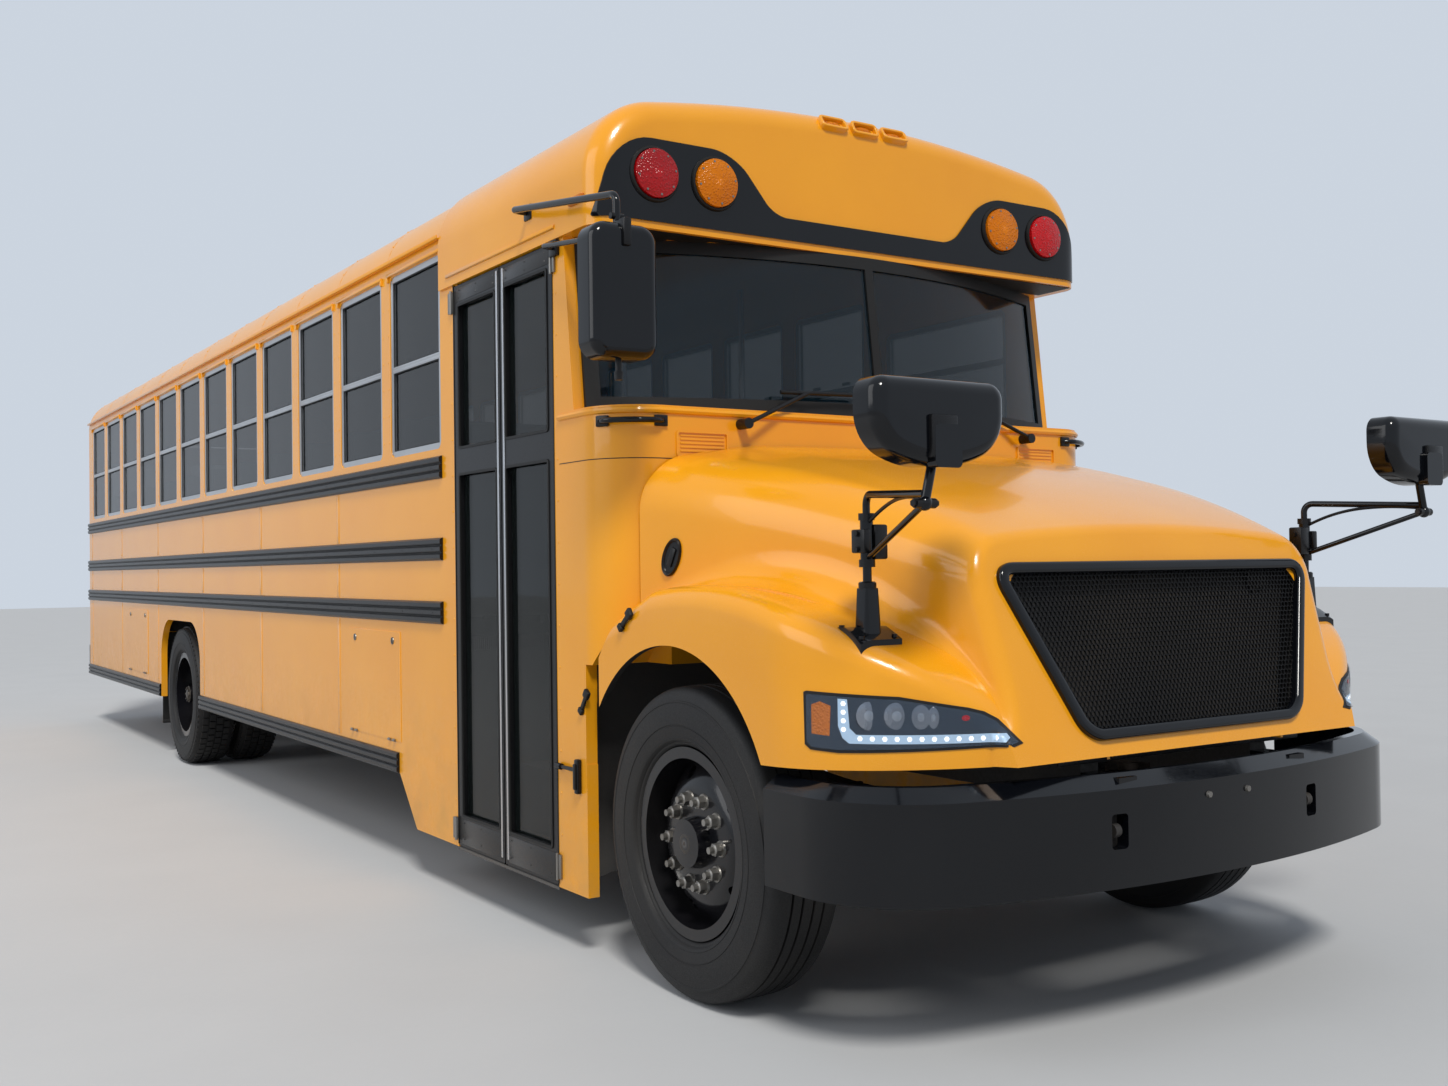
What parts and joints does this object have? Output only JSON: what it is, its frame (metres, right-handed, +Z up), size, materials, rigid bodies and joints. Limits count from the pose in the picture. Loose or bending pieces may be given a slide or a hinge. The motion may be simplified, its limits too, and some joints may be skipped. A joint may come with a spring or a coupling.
{
  "type": "school bus",
  "caption": "Conventional school bus with a tilting nose, folding entry doors, rear exit door, stop arm, steered front wheels and twin rear wheels.",
  "frame": {"origin": "on the ground, at the middle of the overall length and of the body's width", "axes": "+Z up, the front of the bus faces -Y, its right side with the entry door faces -X"},
  "size_m": [2.791, 12.27, 3.2019],
  "materials": {
    "body_paint": "glossy yellow-orange coach paint",
    "black_gloss": "glossy black panel",
    "black_paint": "satin black paint on steel",
    "chassis_black": "dull black chassis paint",
    "axle_iron": "dark cast and forged steel",
    "aluminium": "mill-finish window frames",
    "side_pane": "dark tinted safety glass",
    "door_pane": "lightly tinted door glass",
    "screen_pane": "tinted laminated windshield",
    "rubber": "matt black rubber",
    "tyre": "black tyre rubber",
    "wheel_black": "glossy black wheel paint",
    "lens_red": "red lamp lens",
    "lens_amber": "amber lamp lens",
    "lens_clear": "clear headlamp lens",
    "vinyl": "dark green seat vinyl",
    "seat_steel": "dark seat frame paint",
    "interior": "dark grey cab moulding",
    "floor_cover": "black ribbed floor covering",
    "step_steel": "dark step sheet",
    "stainless": "brushed stainless rail",
    "radiator_grey": "dark radiator core",
    "tank_steel": "black fuel tank paint",
    "stop_red": "red reflective face with white border"
  },
  "bodies": {
    "bus_body": {"chassis_frame": "chassis_black", "front_axle": "axle_iron", "rear_axle": "axle_iron", "drive_shaft": "axle_iron", "engine_block": "axle_iron", "radiator": "radiator_grey", "fuel_tank": "tank_steel", "floor": "floor_cover", "entrance_steps": "step_steel", "right_wall": "body_paint", "left_wall": "body_paint", "window_frames": "aluminium", "side_glass": "side_pane", "roof": "body_paint", "rear_wall": "body_paint", "front_cap": "body_paint", "lamp_panel": "black_gloss", "red_lamps": "lens_red", "amber_lamps": "lens_amber", "cowl": "body_paint", "windshield_gasket": "rubber", "windshield_glass": "screen_pane", "wipers": "black_paint", "side_mirror": "black_paint", "front_bumper": "black_paint", "rear_bumper": "black_paint", "rub_rails": "black_paint", "seat_cushions": "vinyl", "seat_frames": "seat_steel", "driver_seat": "vinyl", "dashboard": "interior", "steering_wheel": "interior", "grab_rail": "stainless", "stop_bracket": "black_paint", "marker_lamps": "lens_amber"},
    "nose": {"hood": "body_paint", "grille": "black_paint", "headlamps": "lens_clear", "crossview_mirrors": "black_paint"},
    "door_front": {"entry_door_front": "black_paint", "entry_glass_front": "door_pane"},
    "door_rear": {"entry_door_rear": "black_paint", "entry_glass_rear": "door_pane"},
    "rear_exit": {"exit_door": "body_paint", "exit_glass": "side_pane"},
    "stop_sign_arm": {"stop_arm": "stop_red"},
    "steer_right": {"knuckle_right": "axle_iron"},
    "steer_left": {"knuckle_left": "axle_iron"},
    "wheel_front_right": {"front_tyre_right": "tyre", "front_rim_right": "wheel_black"},
    "wheel_front_left": {"front_tyre_left": "tyre", "front_rim_left": "wheel_black"},
    "wheel_rear_right": {"rear_tyres_right": "tyre", "rear_rims_right": "wheel_black"},
    "wheel_rear_left": {"rear_tyres_left": "tyre", "rear_rims_left": "wheel_black"}
  },
  "joints": [
    {"name": "hood_tilt", "type": "hinge", "parent": "bus_body", "child": "nose", "pos_m": [0, -5.99, 0.845], "axis": [1, 0, 0], "range_deg": [0, 55]},
    {"name": "entry_front_swing", "type": "hinge", "parent": "bus_body", "child": "door_front", "pos_m": [-1.207, -4.074, 1.4], "axis": [0, 0, 1], "range_deg": [0, 85]},
    {"name": "entry_rear_swing", "type": "hinge", "parent": "bus_body", "child": "door_rear", "pos_m": [-1.207, -3.16, 1.4], "axis": [0, 0, -1], "range_deg": [0, 85]},
    {"name": "rear_exit_swing", "type": "hinge", "parent": "bus_body", "child": "rear_exit", "pos_m": [-0.38, 6.054, 1.9], "axis": [0, 0, 1], "range_deg": [0, 110]},
    {"name": "stop_arm_swing", "type": "hinge", "parent": "bus_body", "child": "stop_sign_arm", "pos_m": [1.255, -3.05, 1.68], "axis": [0, 0, -1], "range_deg": [0, 90]},
    {"name": "steer_right_turn", "type": "hinge", "parent": "bus_body", "child": "steer_right", "pos_m": [-0.93, -4.94, 0.51], "axis": [0, 0, 1], "range_deg": [-38, 38]},
    {"name": "steer_left_turn", "type": "hinge", "parent": "bus_body", "child": "steer_left", "pos_m": [0.93, -4.94, 0.51], "axis": [0, 0, 1], "range_deg": [-38, 38]},
    {"name": "front_right_spin", "type": "hinge", "parent": "steer_right", "child": "wheel_front_right", "pos_m": [-1.059, -4.94, 0.51], "axis": [1, 0, 0], "continuous": true},
    {"name": "front_left_spin", "type": "hinge", "parent": "steer_left", "child": "wheel_front_left", "pos_m": [1.059, -4.94, 0.51], "axis": [1, 0, 0], "continuous": true},
    {"name": "rear_right_spin", "type": "hinge", "parent": "bus_body", "child": "wheel_rear_right", "pos_m": [-0.909, 2.172, 0.51], "axis": [1, 0, 0], "continuous": true},
    {"name": "rear_left_spin", "type": "hinge", "parent": "bus_body", "child": "wheel_rear_left", "pos_m": [0.909, 2.172, 0.51], "axis": [1, 0, 0], "continuous": true}
  ],
  "couplings": [
    {"joint": "steer_left_turn", "follows": "steer_right_turn", "ratio": 1},
    {"joint": "entry_rear_swing", "follows": "entry_front_swing", "ratio": 1}
  ]
}
